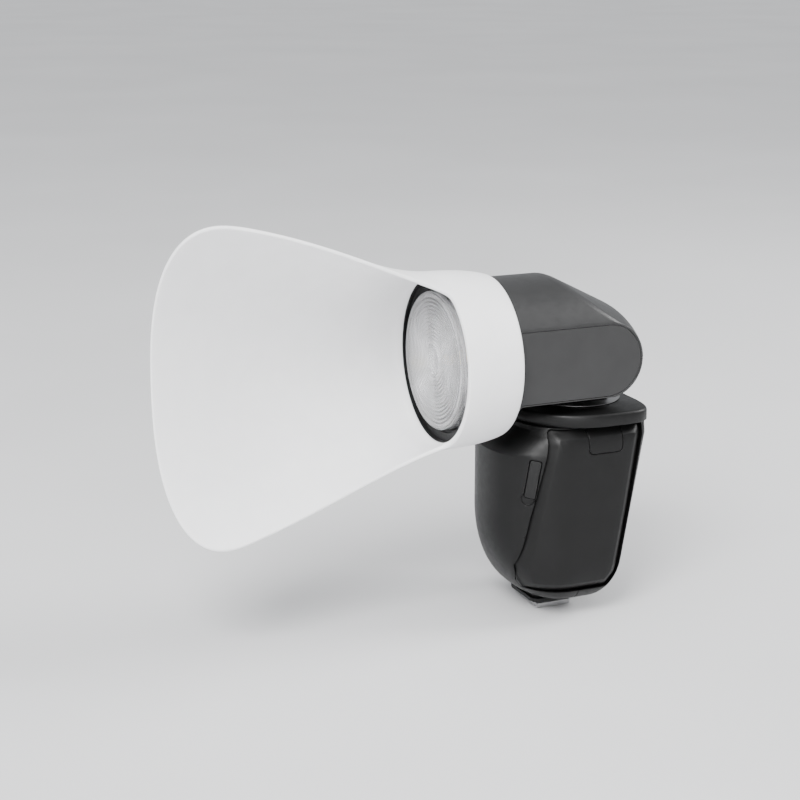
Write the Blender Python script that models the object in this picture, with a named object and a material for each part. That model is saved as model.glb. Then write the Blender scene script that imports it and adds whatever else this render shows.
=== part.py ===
"""A round-head camera flash that carries an open, flared bounce snoot.

The origin is the centre of the hot-shoe foot's underside. +Z is up, the lens looks along -Y, and
the battery is on the +X side. Lengths in this script are millimetres; add() makes them metres.
"""
from math import asin, cos, exp, log, pi, radians, sin, sqrt, tan

import bmesh
import bpy
from mathutils import Matrix, Vector

MM = 0.001
GAP = 0.3  # left between pieces that touch

# The head: a barrel along Y, flattened at the sides, on a tilt axis along X.
AXIS_Z = 129.0  # height of the barrel's axis over the foot's underside
FRONT_Y = -62.0  # plane of the lens's front
TILT_Y = 14.0  # the tilt axis and the swivel axis both pass here
BARREL_R = 37.5
CHEEK_X = 32.9  # half the distance between the flat sides
CHEEK_HALF = sqrt(BARREL_R**2 - CHEEK_X**2)  # half the height of each flat side
REAR_R = 25.4  # crowned rear surface about the tilt axis, at the middle
REAR_SIDE_R = 18.4  # and at the flat sides
ROOF_SLOPE = radians(27)
HEAD_SHELL_Y = -38.0  # where the covers meet the zoom ring
CHIN_Y = (-34.5, -29.0)  # the underside rises between these
HEAD_WALL = 2.0
DRUM_R = 22.6  # the neck's drum, which the head turns on
DRUM_HALF = 15.0
STEM_HALF = 12.0
AXLE_R = 4.0

# The snoot: a collar round the head, and a scoop whose wall is on the -X side.
COLLAR_OUTER = ((28.5, 38.4), (28.1, 38.9), (26.5, 39.6), (21, 40.8), (14, 41.7), (6, 42.2))
COLLAR_INNER = ((0.8, 39.0), (0.85, 40.3), (13.3, 40.3), (18, 38.7), (20.5, 37.8), (28.5, 37.8))
SCOOP_R = 42.3  # radius of the section where the scoop leaves the collar
SCOOP_TIP_R = 121.7
SCOOP_TIP_X = 5.3  # how far the tip stands from the head's axis
SCOOP_LENGTH = 136.0
SCOOP_OPEN = radians(121)  # half the angle that the wall covers where it leaves the collar
SCOOP_DECAY = 124.0
CORNER_START = 95.0
CORNER_POWER = 3.2
LIP = 0.8
SCOOP_WALL = 1.9
LIP_WALL = 3.3

# The body: a D-shaped case, round at the front and flat at the rear.
BODY_BOTTOM = 9.0
BODY_TOP = 97.4
BODY_LEVELS = (10, 12.5, 17, 23, 30, 40, 50, 84, 88, 91, 95)  # heights of its sections
BODY_HALF = 34.0
BODY_FRONT = -35.0
BODY_WIDEST_Y = 0.0
BODY_REAR = 39.8  # at BODY_TOP
REAR_SLANT = radians(10.6)
BODY_WALL = 2.0
SPLIT_Y = 2.0
PLATE_TOP = 104.0
DISC_R = 22.0
BATTERY_REAR = ((34.6, 96.9), (28.6, 56), (22.6, 22), (17.5, 15))  # corners as (y, z)
BATTERY_FRONT = ((-23, 15), (-27.2, 28), (-23.4, 53.3), (-14.2, 96.9))
BATTERY_OUTLINE = (BATTERY_REAR + BATTERY_FRONT)[::-1]
BATTERY_X = 14.5
LATCH = (13.2, 90.8)
LATCH_HALF = (9.0, 6.6)
PORT_ANGLE = radians(-36)
PORT_HALF = (2.7, 9.3)

# The rear panel, with places on it measured from its middle.
PANEL_Z = 60.0
PANEL_SIZE = (45.0, 64.0)
DISPLAY = (0, 15.5)
DISPLAY_HALF = (19.0, 13.0)
DIAL = (0, -17.5)
DIAL_R = 10.5
BUTTON_R = 2.9
BUTTONS = {
    "menu_button": (-17.0, -4.6),
    "mode_button": (17.0, -4.6),
    "test_button": (-17.5, -26.5),
    "power_button": (17.5, -26.5),
}

# The foot, for a standard accessory shoe.
FOOT_HALF = 9.3
LEVER_Y = 9.5
PIN_Y = -6.0
CONTACTS = ((0, 3.2), (-4.2, 6.4), (4.2, 6.4), (-4.2, -1.2), (4.2, -1.2))


def material(name, colour, roughness, metallic=0.0):
    made = bpy.data.materials.new(name)
    made.use_nodes = True
    shader = made.node_tree.nodes["Principled BSDF"]
    shader.inputs["Base Color"].default_value = (*colour, 1)
    shader.inputs["Roughness"].default_value = roughness
    shader.inputs["Metallic"].default_value = metallic
    return made


def clear_scene():
    for obj in list(bpy.data.objects):
        bpy.data.objects.remove(obj)


def span(work, low, high):
    """Faces between two loops of points, either of which may be a single pole."""
    count = max(len(low), len(high))
    if count == 1:
        return
    for i in range(count):
        j = (i + 1) % count
        corners = [low[i % len(low)], low[j % len(low)], high[j % len(high)], high[i % len(high)]]
        work.faces.new(list(dict.fromkeys(corners)))


def add(name, work, shade, place):
    bmesh.ops.scale(work, vec=(MM, MM, MM), verts=work.verts)
    bmesh.ops.recalc_face_normals(work, faces=work.faces)
    mesh = bpy.data.meshes.new(name)
    work.to_mesh(mesh)
    work.free()
    mesh.shade_smooth()
    mesh.set_sharp_from_angle(angle=radians(32))
    mesh.materials.append(shade)
    obj = bpy.data.objects.new(name, mesh)
    obj.matrix_world = Matrix.Translation(place.translation * MM) @ place.to_3x3().to_4x4()
    bpy.context.collection.objects.link(obj)
    return obj


def loft(name, rings, shade, place=Matrix(), closed=False):
    """A skin over loops of points: its ends are capped, or the last loop meets the first."""
    work = bmesh.new()
    loops = [[work.verts.new(point) for point in ring] for ring in rings]
    for low, high in zip(loops, loops[1:]):
        span(work, low, high)
    if closed:
        span(work, loops[-1], loops[0])
    else:
        work.faces.new(loops[0])
        work.faces.new(loops[-1])
    return add(name, work, shade, place)


def turned(name, outline, shade, place, steps=40):
    """An outline of (radius, height) points turned about local Z."""
    work = bmesh.new()
    loops = []
    for radius, height in outline:
        angles = [2 * pi * i / steps for i in range(steps)] if radius else [0]
        loops.append([work.verts.new((radius * cos(a), radius * sin(a), height)) for a in angles])
    for low, high in zip(loops, loops[1:] + loops[:1]):
        span(work, low, high)
    return add(name, work, shade, place)


def disc(name, radius, low, high, shade, place, steps=20, chamfer=0.0):
    outline = [(0, low), (radius, low), (radius, high - chamfer), (radius - chamfer, high), (0, high)]
    return turned(name, list(dict.fromkeys(outline)), shade, place, steps)


def prism(name, outline, low, high, shade, place=Matrix()):
    """A flat outline drawn out along local Z."""
    return loft(name, [[(u, v, w) for u, v in outline] for w in (low, high)], shade, place)


def rounded(half_u, half_v, corner, middle=(0, 0), steps=3):
    """The outline of a rectangle with round corners."""
    points = []
    for quarter, (su, sv) in enumerate(((1, 1), (-1, 1), (-1, -1), (1, -1))):
        for i in range(steps + 1):
            angle = pi / 2 * (quarter + i / steps)
            u = middle[0] + su * (half_u - corner) + corner * cos(angle)
            v = middle[1] + sv * (half_v - corner) + corner * sin(angle)
            points.append((u, v))
    return points


def boolean(target, other, operation="DIFFERENCE"):
    modifier = target.modifiers.new(f"{operation} {other.name}", "BOOLEAN")
    modifier.operation = operation
    modifier.object = other
    other.hide_render = True
    other.display_type = "WIRE"


def box(name, low, high, shade, place=Matrix()):
    outline = [(low[0], low[1]), (high[0], low[1]), (high[0], high[1]), (low[0], high[1])]
    return prism(name, outline, low[2], high[2], shade, place)


def at(x, y, z):
    return Matrix.Translation((x, y, z))


# Local Z of HEAD runs back along the barrel's axis from the lens's front.
HEAD = at(0, FRONT_Y, AXIS_Z) @ Matrix.Rotation(-pi / 2, 4, "X")
# An outline on SIDE is drawn in (y, z) and drawn out along x.
SIDE = Matrix(((0, 0, 1, 0), (1, 0, 0, 0), (0, 1, 0, 0), (0, 0, 0, 1)))
TILT = at(0, TILT_Y, AXIS_Z) @ SIDE
SWIVEL = at(0, TILT_Y, 0)
# Local Z of PORT runs out of the body's front corner, and local Y up along the port cover.
PORT_LEAN = Matrix.Rotation(radians(-9), 4, "Z")
PORT = at(27.9, -22.7, 73.2) @ Matrix.Rotation(PORT_ANGLE, 4, "Z") @ SIDE @ PORT_LEAN


def rear_y(z):
    return BODY_REAR - (BODY_TOP - z) * tan(REAR_SLANT)


# Local X of PANEL runs towards -X, local Y up the slanted rear, local Z out of it.
PANEL = at(0, rear_y(PANEL_Z), PANEL_Z) @ Matrix(
    (
        (-1, 0, 0, 0),
        (0, sin(REAR_SLANT), cos(REAR_SLANT), 0),
        (0, cos(REAR_SLANT), -sin(REAR_SLANT), 0),
        (0, 0, 0, 1),
    )
)


# ---- The snoot ----


def scoop_section(s):
    """Radius of the wall's arc, and the x of its centre, at s ahead of the lens's front."""
    share = s / SCOOP_LENGTH
    radius = SCOOP_R + (SCOOP_TIP_R - SCOOP_R) * share**1.63
    depth = SCOOP_R - (SCOOP_R - SCOOP_TIP_X) * share**1.6
    return radius, radius - depth


def scoop_half_angle(s):
    """Half the angle that the wall covers at s, measured from -X about the arc's centre."""
    flank = SCOOP_OPEN * exp(-s / SCOOP_DECAY)
    if s <= CORNER_START:
        return flank
    share = (s - CORNER_START) / (SCOOP_LENGTH - CORNER_START)
    return asin(sin(flank) * max(0.0, 1 - share**CORNER_POWER) ** (1 / CORNER_POWER))


def scoop_reach(angle):
    """How far ahead of the lens's front the wall's cut edge lies at this angle from -X."""
    low, high = 0.0, SCOOP_LENGTH
    for _ in range(40):
        middle = (low + high) / 2
        if scoop_half_angle(middle) > angle:
            low = middle
        else:
            high = middle
    past = low if angle < SCOOP_OPEN else -SCOOP_DECAY * log(angle / SCOOP_OPEN)
    return LIP + (past - LIP + sqrt((past - LIP) ** 2 + 9)) / 2


def snoot_shell(shade, columns=40, rows=8):
    """Collar and scoop in one moulding: a closed loop of points for each angle round the head."""
    rings = []
    for column in range(columns):
        angle = pi * (2 * column / columns - 1)
        reach = min(scoop_reach(abs(angle)), SCOOP_LENGTH)
        steps = [reach * row / rows for row in range(rows + 1)]
        outer, inner = [], []
        for s in steps:
            radius, centre = scoop_section(s)
            wall = SCOOP_WALL + (LIP_WALL - SCOOP_WALL) * exp(-s / 3)
            outer.append((s, radius, centre))
            inner.append((s, radius - wall, centre))
        loop = [(-y, r, 0) for y, r in COLLAR_OUTER] + outer + inner[::-1]
        loop += [(-y, r, 0) for y, r in COLLAR_INNER]
        rings.append([(c - r * cos(angle), r * sin(angle), -s) for s, r, c in loop])
    return loft("snoot_shell", rings, shade, HEAD, closed=True)


def snoot(white, black):
    snoot_shell(white)
    ring = [(37.8, 13), (40.0, 13), (40.0, 1.1), (38.6, 1.1), (38.6, 3.4), (34.4, 3.4), (34.4, 4.6)]
    turned("snoot_mount_ring", ring + [(37.8, 4.6)], black, HEAD, 40)


# ---- The head ----


def head_slice(x, inset, front):
    """The head's side outline at x, as (y, z) about the tilt axis, inset on every side but the front."""
    half = sqrt((BARREL_R - inset) ** 2 - x**2)
    rear = REAR_R - (REAR_R - REAR_SIDE_R) * (x / CHEEK_X) ** 2 - inset
    floor = CHEEK_HALF - inset
    roof_end = (rear / cos(ROOF_SLOPE) - half) / tan(ROOF_SLOPE)
    points = [(front - TILT_Y, half), (roof_end, half)]
    first, last, steps = pi / 2 - ROOF_SLOPE, -asin(min(1, floor / rear)), 9
    for i in range(steps + 1):
        angle = first + (last - first) * i / steps
        points.append((rear * cos(angle), rear * sin(angle)))
    points[-1] = (points[-1][0], -floor)
    points.append((CHIN_Y[1] + inset - TILT_Y, -floor))
    points.append((CHIN_Y[0] + inset - TILT_Y, -half))
    points.append((front - TILT_Y, -half))
    return points


def head_form(name, inset, side, front, shade, slices=16):
    """The head's outer form, or its cavity: slices across x, closer together towards the sides."""
    widest = asin(side / (BARREL_R - inset))
    rings = []
    for i in range(slices + 1):
        x = (BARREL_R - inset) * sin(widest * (2 * i / slices - 1))
        rings.append([(y, z, x) for y, z in head_slice(x, inset, front)])
    return loft(name, rings, shade, TILT)


def side_outline(grow):
    """The stadium-shaped flat of the head's side, about the tilt axis."""
    half = CHEEK_HALF - 0.6 + grow
    points = [(HEAD_SHELL_Y - TILT_Y + 0.6 - grow, -half), (0, -half)]
    points += [(half * sin(pi * i / 12), -half * cos(pi * i / 12)) for i in range(1, 12)]
    return points + [(0, half), (HEAD_SHELL_Y - TILT_Y + 0.6 - grow, half)]


def head_covers(shade, dark):
    outer = [head_form(n, 0, CHEEK_X, HEAD_SHELL_Y, shade) for n in ("head_top_cover", "head_bottom_cover")]
    cavity = head_form("head_cavity", HEAD_WALL, CHEEK_X - 3.6, HEAD_SHELL_Y - 5, dark)
    far = 60
    slot = disc("neck_slot_drum", DRUM_R + 0.45, -DRUM_HALF - 0.4, DRUM_HALF + 0.4, dark, TILT, 40)
    reach = STEM_HALF + 0.5
    way = [(-reach, -far), (far, -far), (far, reach), (-reach, reach)]
    sweep = prism("neck_slot_sweep", way, -DRUM_HALF - 0.4, DRUM_HALF + 0.4, dark, TILT)
    bore = disc("axle_bore", AXLE_R + GAP, -31.6, 31.6, dark, TILT, 20)
    above = box("cut_above", (-far, -far, AXIS_Z - GAP / 2), (far, far, AXIS_Z + far), dark)
    below = box("cut_below", (-far, -far, AXIS_Z - far), (far, far, AXIS_Z + GAP / 2), dark)
    pockets = []
    for side, name in ((1, "left"), (-1, "right")):
        span_x = sorted((side * (CHEEK_X - 1.9), side * far))
        pockets.append(prism(f"pocket_{name}", side_outline(0), *span_x, dark, TILT))
        span_x = sorted((side * (CHEEK_X - 1.6), side * CHEEK_X))
        prism(f"head_side_cover_{name}", side_outline(-GAP), *span_x, shade, TILT)
    for cover, half in zip(outer, (below, above)):
        for cutter in (cavity, slot, sweep, bore, half, *pockets):
            boolean(cover, cutter)


def head_inside(black, lens, metal, led):
    tube = [(33.2, 10.3), (35.0, 10.3), (35.0, 23.7), (33.2, 23.7)]
    turned("barrel_tube", tube, black, HEAD)
    bezel = [(33.2, 5.6), (34.6, 5.0), (36.9, 5.0), (37.5, 5.6), (37.5, 10), (33.2, 10)]
    turned("front_bezel", bezel, black, HEAD)
    grip = [(35.3, 10.3), (37.1, 10.3), (37.5, 10.8), (37.5, 23.2), (37.1, 23.7), (35.3, 23.7)]
    turned("zoom_ring", grip, black, HEAD)
    rings = [(0, -0.6), (8, -0.4), (8.4, 0.3), (17, 0.0), (17.4, 0.6), (26, 0.1), (26.4, 0.6)]
    skirt = [(32.2, 0), (32.9, 0.7), (32.9, 9.6), (31.2, 9.6), (31.2, 2.6), (0, 2.6)]
    turned("fresnel_lens", rings + skirt, lens, HEAD, 28)
    bowl = [(11.0 + 16 * (1 - (i / 5) ** 2), 11.5 + 11.5 * i / 5) for i in range(6)]
    back = [(r + 0.9, h + 0.4) for r, h in bowl[::-1]]
    turned("reflector", bowl + back, metal, HEAD, 24)
    tube = [(8.4 + 1.9 * cos(pi * i / 3), 17.4 + 1.9 * sin(pi * i / 3)) for i in range(6)]
    turned("flash_tube", tube, lens, HEAD, 20)
    carriage = [(0, 19.8), (10.4, 19.8), (10.4, 24.2), (31.8, 24.2), (31.8, 26.4), (0, 26.4)]
    sled = turned("zoom_carriage", carriage, black, HEAD, 32)
    prism("modelling_light", rounded(3.2, 3.2, 0.8), 17.6, 19.5, led, HEAD)
    frame = disc("head_frame", 34.2, 42.6, 44.6, black, HEAD, 32)
    boolean(frame, box("frame_limits", (-28.6, -40, 40), (28.6, 14.8, 50), black, HEAD), "INTERSECT")
    boolean(sled, box("carriage_limits", (-28.4, -40, 15), (28.4, 14.6, 30), black, HEAD), "INTERSECT")
    for turn, name in ((-1.1, "left"), (-2.1, "right")):
        place = HEAD @ Matrix.Rotation(turn, 4, "Z") @ at(29.4, 0, 0)
        hole = disc(f"rod_hole_{name}", 1.6, 20, 50, black, place, 12)
        boolean(sled, hole)
        boolean(frame, hole)
        disc(f"guide_rod_{name}", 1.2, 24, 44.6, metal, place, 12)
    disc("tilt_axle", AXLE_R, -30.9, 30.9, metal, TILT, 20)


def neck(black, metal):
    yoke = disc("neck_yoke", DRUM_R, -DRUM_HALF, DRUM_HALF, black, TILT, 40)
    stem_outline = rounded(DRUM_HALF - 0.6, STEM_HALF, 3)
    boolean(yoke, prism("neck_stem", stem_outline, 105.1, AXIS_Z - 6, black, SWIVEL), "UNION")
    boolean(yoke, disc("neck_shaft", 9, 88, 108, black, SWIVEL, 28), "UNION")
    boolean(yoke, disc("neck_axle_bore", AXLE_R + GAP, -20, 20, black, TILT, 20))
    boolean(yoke, disc("neck_cable_way", 5, 80, 118, black, SWIVEL, 16))
    turned("swivel_disc", [(9.3, 104.3), (DISC_R, 104.3), (DISC_R, 104.8), (9.3, 104.8)], metal, SWIVEL)
    ring = [(9.3, 95.5), (13, 95.5), (13, 97.4), (9.3, 97.4)]
    turned("swivel_retaining_ring", ring, metal, SWIVEL, 28)


# ---- The body ----


def oval(half, front, rear, middle, front_power, rear_power, count):
    """A superellipse whose front (-y) and rear halves have their own depth and power."""
    points = []
    for i in range(count):
        c, s = cos(2 * pi * i / count), sin(2 * pi * i / count)
        power = 2 / (front_power if s < 0 else rear_power)
        depth = middle - front if s < 0 else rear - middle
        x = half * abs(c) ** power * (1 if c > 0 else -1)
        points.append((x, middle + depth * abs(s) ** power * (1 if s > 0 else -1)))
    return points


def body_ring(z, inset):
    """The body's plan at height z, inset by a wall."""
    front, half, rear = BODY_FRONT, BODY_HALF, rear_y(z)
    if z < 50:
        share = (50 - z) / (50 - BODY_BOTTOM)
        front = -13 - 22 * (1 - share**1.8) ** (1 / 1.8)
    if z > 84:
        front += 12.4 * min(1, (z - 84) / 11)
    if z < 28:
        share = (28 - z) / (28 - BODY_BOTTOM)
        half -= 11 * (1 - sqrt(1 - share**2))
        rear -= 11 * (1 - sqrt(1 - share**2))
    if z > 91:
        half -= 3.4 * (z - 91) / (BODY_TOP - 91)
    outline = oval(half - inset, front + inset, rear - inset, BODY_WIDEST_Y, 2.3, 8, 40)
    return [(x, y, z) for x, y in outline]


def body_form(name, inset, shade):
    low, high = BODY_BOTTOM + inset, BODY_TOP - inset
    between = [z for z in BODY_LEVELS if low + 0.4 < z < high - 0.4]
    return loft(name, [body_ring(z, inset) for z in [low, *between, high]], shade)


def grown(outline, amount):
    """A convex outline moved outwards along its corners' bisectors."""
    count = len(outline)
    points = []
    for i in range(count):
        here = Vector(outline[i])
        before = (here - Vector(outline[i - 1])).normalized()
        after = (Vector(outline[(i + 1) % count]) - here).normalized()
        normal = Vector((before.y + after.y, -before.x - after.x)).normalized()
        share = normal.dot(Vector((before.y, -before.x)))
        points.append(tuple(here + normal * amount / share))
    return points


def body_shells(shade, dark):
    far = 80
    cavity = body_form("body_cavity", BODY_WALL, dark)
    rear_half = box("cut_rear", (-far, SPLIT_Y - GAP / 2, -far), (far, far, 2 * far), dark)
    front_half = box("cut_front", (-far, -far, -far), (far, SPLIT_Y + GAP / 2, 2 * far), dark)
    bay = prism("battery_bay", BATTERY_OUTLINE, BATTERY_X, far, dark, SIDE)
    collar = disc("swivel_hole", 13.6, 90, far + 40, dark, SWIVEL, 28)
    opening = rounded(PORT_HALF[0] + GAP, PORT_HALF[1] + GAP, 1.0)
    port = prism("port_opening", opening, -3, far, dark, PORT)
    opening = rounded(PANEL_SIZE[0] / 2 + GAP, PANEL_SIZE[1] / 2 + GAP, 4)
    window = prism("panel_opening", opening, -8, 9, dark, PANEL)
    front = body_form("body_front_shell", 0, shade)
    rear = body_form("body_rear_shell", 0, shade)
    for cutter in (cavity, rear_half, bay, port, collar):
        boolean(front, cutter)
    for cutter in (cavity, front_half, bay, window, collar):
        boolean(rear, cutter)


def battery(shade, dark, metal):
    side = grown(BATTERY_OUTLINE, -GAP - 0.05)
    pack = body_form("battery_pack", 0, shade)
    boolean(pack, prism("battery_side", side, BATTERY_X + GAP, 60, dark, SIDE), "INTERSECT")
    latch = body_form("battery_latch", 0, dark)
    boolean(latch, prism("latch_shape", rounded(*LATCH_HALF, 2.4, LATCH), 28, 60, dark, SIDE), "INTERSECT")
    boolean(latch, prism("latch_limit", side, 5, 60, dark, SIDE), "INTERSECT")
    pocket = rounded(LATCH_HALF[0] + GAP, LATCH_HALF[1] + GAP, 2.6, LATCH)
    boolean(pack, prism("latch_pocket", pocket, 25.5, 60, dark, SIDE))
    for i, y in enumerate((-8, 0, 8)):
        box(f"battery_terminal_{i + 1}", (12.6, y - 2, 40), (14.2, y + 2, 46), metal)


def port_cover(shade, dark):
    cover = body_form("port_cover", 0, shade)
    boolean(cover, prism("port_shape", rounded(*PORT_HALF, 0.8), -1.6, 30, dark, PORT), "INTERSECT")


def top_plate(shade, dark):
    outer = oval(36.2, -22.0, 40.0, TILT_Y, 2.1, 4.8, 40)
    inner = oval(35.2, -21.0, 39.0, TILT_Y, 2.1, 4.8, 40)
    levels = ((97.7, outer), (102.9, outer), (PLATE_TOP, inner))
    plate = loft("top_plate", [[(x, y, z) for x, y in ring] for z, ring in levels], shade)
    boolean(plate, disc("plate_bore", 9.3, 90, 110, dark, SWIVEL, 28))


def body_inside(board, dark):
    box("main_board", (3.4, -20, 24), (5.0, 15, 86), board)
    disc("capacitor", 13, 24, 84, dark, at(-13, 1, 0), 28, 1)
    beside_battery = rounded(16.5, PANEL_SIZE[1] / 2 - 2, 3, (4.2, 0))
    prism("control_board", beside_battery, -7.4, -5.8, board, PANEL)


# ---- The rear panel ----


def rear_panel(shade, dark, glass):
    panel = prism("rear_panel", rounded(PANEL_SIZE[0] / 2, PANEL_SIZE[1] / 2, 3.7), -2.4, 0.2, shade, PANEL)
    opening = rounded(DISPLAY_HALF[0] + GAP, DISPLAY_HALF[1] + GAP, 1.5, DISPLAY)
    boolean(panel, prism("display_opening", opening, -6, 3, dark, PANEL))
    prism("display_window", rounded(*DISPLAY_HALF, 1.2, DISPLAY), -1.2, 0.4, glass, PANEL)
    prism("display_module", rounded(*DISPLAY_HALF, 1.0, DISPLAY), -3.6, -1.5, dark, PANEL)
    dial = PANEL @ at(*DIAL, 0)
    boolean(panel, disc("dial_hole", DIAL_R + GAP, -6, 3, dark, dial, 32))
    wheel = [(4.6, -2.6), (DIAL_R, -2.6), (DIAL_R, 1.0), (DIAL_R - 0.8, 1.8), (5.0, 1.4), (4.6, 1.0)]
    turned("control_dial", wheel, dark, dial, 32)
    disc("set_button", 4.2, -2.6, 1.3, shade, dial, 20, 0.4)
    for name, place in BUTTONS.items():
        here = PANEL @ at(*place, 0)
        boolean(panel, disc(f"{name}_hole", BUTTON_R + GAP, -6, 3, dark, here, 16))
        disc(name, BUTTON_R, -2.0, 1.0, dark, here, 16, 0.4)


# ---- The foot ----


def foot(shade, metal, dark):
    rail = [(-FOOT_HALF, 0), (FOOT_HALF, 0), (FOOT_HALF, 2)]
    rail += [(6.1, 2), (6.1, 4.3), (-6.1, 4.3), (-6.1, 2)]
    front_on = Matrix(((1, 0, 0, 0), (0, 0, -1, 0), (0, 1, 0, 0), (0, 0, 0, 1)))
    plate = prism("foot_plate", rail + [(-FOOT_HALF, 2.0)], -9.0, 9.0, metal, front_on)
    block = prism("foot_block", rounded(14, 14.5, 4, (0, 1)), 4.6, 6.4, shade)
    post = prism("foot_post", rounded(11, 6.5, 3, (0, -5.5)), 5, 8.7, shade)
    boolean(block, post, "UNION")
    boolean(block, disc("lever_pivot", 1.8, 5, 8.4, shade, at(0, LEVER_Y, 0), 16), "UNION")
    bore = disc("pin_bore", 1.3, -2, 20, dark, at(0, PIN_Y, 0), 16)
    boolean(plate, bore)
    boolean(block, bore)
    disc("locking_pin", 1.0, 0.3, 7.6, metal, at(0, PIN_Y, 0), 16, 0.2)
    lever = prism("lock_lever", rounded(4.6, 4.6, 4.5, (0, LEVER_Y), 6), 6.7, 8.5, dark)
    tip = prism("lever_tip", rounded(3.4, 8.2, 2.4, (0, LEVER_Y + 9.4)), 6.7, 8.5, dark)
    boolean(lever, tip, "UNION")
    boolean(lever, disc("lever_bore", 2.1, 2, 12, dark, at(0, LEVER_Y, 0), 16))
    for i, (x, y) in enumerate(CONTACTS):
        here = at(x, y, 0)
        boolean(plate, disc(f"contact_hole_{i + 1}", 1.3, -2, 3.0, dark, here, 16))
        disc(f"contact_{i + 1}", 1.0, 0.1, 2.7, metal, here, 16, 0.2)


def main():
    clear_scene()
    white = material("white_silicone", (0.86, 0.86, 0.86), 0.5)
    grey = material("head_plastic", (0.07, 0.07, 0.072), 0.42)
    case = material("body_plastic", (0.02, 0.02, 0.021), 0.5)
    black = material("black_plastic", (0.01, 0.01, 0.01), 0.5)
    steel = material("bright_metal", (0.6, 0.6, 0.6), 0.3, 1)
    lens = material("lens", (0.8, 0.82, 0.82), 0.15)
    board = material("circuit_board", (0.03, 0.12, 0.06), 0.5)
    led = material("light_diode", (0.9, 0.8, 0.3), 0.4)
    snoot(white, black)
    head_covers(grey, black)
    head_inside(black, lens, steel, led)
    neck(black, steel)
    body_shells(case, black)
    battery(case, black, steel)
    port_cover(case, black)
    top_plate(case, black)
    body_inside(board, black)
    rear_panel(black, black, lens)
    foot(case, steel, black)


main()
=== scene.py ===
"""The looks of a round-head camera flash and its open bounce snoot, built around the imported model.

Lengths in the shape functions are millimetres, as in the model's source; add() makes them metres.
"""
from math import asin, cos, exp, log, pi, radians, sin, sqrt, tan

import bmesh
import bpy
from mathutils import Matrix, Vector


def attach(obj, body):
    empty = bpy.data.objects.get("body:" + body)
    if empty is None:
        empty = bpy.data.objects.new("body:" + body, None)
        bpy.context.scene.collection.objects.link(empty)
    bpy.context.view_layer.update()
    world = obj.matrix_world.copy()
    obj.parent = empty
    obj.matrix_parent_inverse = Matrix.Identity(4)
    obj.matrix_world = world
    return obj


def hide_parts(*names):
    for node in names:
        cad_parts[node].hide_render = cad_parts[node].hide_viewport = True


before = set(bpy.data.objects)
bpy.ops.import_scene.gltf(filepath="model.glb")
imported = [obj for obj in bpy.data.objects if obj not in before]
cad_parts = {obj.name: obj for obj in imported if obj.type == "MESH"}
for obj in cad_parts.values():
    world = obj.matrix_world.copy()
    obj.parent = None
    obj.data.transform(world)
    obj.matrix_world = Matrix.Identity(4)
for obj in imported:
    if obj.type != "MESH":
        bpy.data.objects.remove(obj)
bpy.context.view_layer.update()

MM = 0.001
GAP = 0.3
HALF_SEAM = 0.08
FAR = 80.0  # the reach of a cutter that has to pass right through

# The head.
AXIS_Z = 129.0
FRONT_Y = -62.0
TILT_Y = 14.0
BARREL_R = 37.5
CHEEK_X = 32.9
CHEEK_HALF = sqrt(BARREL_R**2 - CHEEK_X**2)
REAR_R = 25.4
REAR_SIDE_R = 18.4
ROOF_SLOPE = radians(27)
HEAD_SHELL_Y = -38.0
CHIN_Y = (-34.5, -29.0)  # the underside rises between these
HEAD_WALL = 2.0
LENS_RIDGES_R = 32.0
LENS_PITCH = 1.75
ZOOM_R = 37.5
ZOOM_BORE_R = 35.3
CHEEK_DEPTH = 1.6
SIDE_MARGIN = 0.6
DRUM_R = 22.6
DRUM_HALF = 15.0
DRUM_GAP = 0.4
STEM_HALF = 12.0

# The snoot.
COLLAR_OUTER = ((28.5, 38.3), (28.35, 38.75), (27.6, 39.15), (26.2, 39.6), (24, 40.15), (21, 40.75))
COLLAR_OUTER += ((17.5, 41.3), (14, 41.7), (10, 42.0), (6, 42.2), (3, 42.28))
COLLAR_INNER = ((0.8, 39.0), (0.85, 40.3), (13.3, 40.3), (16, 39.4), (18, 38.5))
COLLAR_INNER += ((20.5, 37.8), (28.3, 37.8))
SCOOP_R = 42.3
SCOOP_TIP_R = 121.7
SCOOP_TIP_X = 5.3
SCOOP_LENGTH = 136.0
SCOOP_OPEN = radians(121)
SCOOP_DECAY = 124.0
CORNER_START = 95.0
CORNER_POWER = 3.2
LIP = 0.8
SCOOP_WALL = 1.9
LIP_WALL = 3.3

# The body.
BODY_BOTTOM = 9.0
BODY_TOP = 97.4
BODY_LEVELS = (9.3, 9.9, 10.8, 12.2, 14, 16.3, 19, 22, 25.5, 29, 33)  # heights of its sections
BODY_LEVELS += (38, 44, 50, 62, 74, 84, 85.5, 88, 91, 93, 95)
BODY_HALF = 34.0
BODY_FRONT = -35.0
BODY_WIDEST_Y = 0.0
FRONT_POWER = 2.3  # how square the body's plan is at its front and its rear
REAR_POWER = 8
KEEL_FRONT = -13.0  # the front's y at the very bottom, from which it swells out up to KEEL_TOP
KEEL_TOP = 50.0
KEEL_POWER = 1.8
FOOT_ROUND_TOP = 28.0
FOOT_ROUND = 11.0
SHOULDER_Z = 84.0
SHOULDER_BACK = 12.4
TAPER_Z = 91.0
TAPER = 3.4
BODY_REAR = 39.8
REAR_SLANT = radians(10.6)
BODY_WALL = 2.0
SPLIT_Y = 2.0
PLATE_TOP = 104.0
PLATE_RIM = ((97.7, 0.3), (98.0, 0.0), (102.4, 0.0), (103.2, 0.25), (103.7, 0.7), (PLATE_TOP, 1.4))
PLATE_HALF = 36.2
PLATE_Y = (-22.0, 40.0)
PLATE_POWERS = (2.1, 4.8)
SHAFT_HOLE_R = 9.3
BATTERY_REAR = ((34.6, 96.9), (28.6, 56), (22.6, 22), (17.5, 15))
BATTERY_FRONT = ((-23, 15), (-27.2, 28), (-23.4, 53.3), (-14.2, 96.9))
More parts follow.
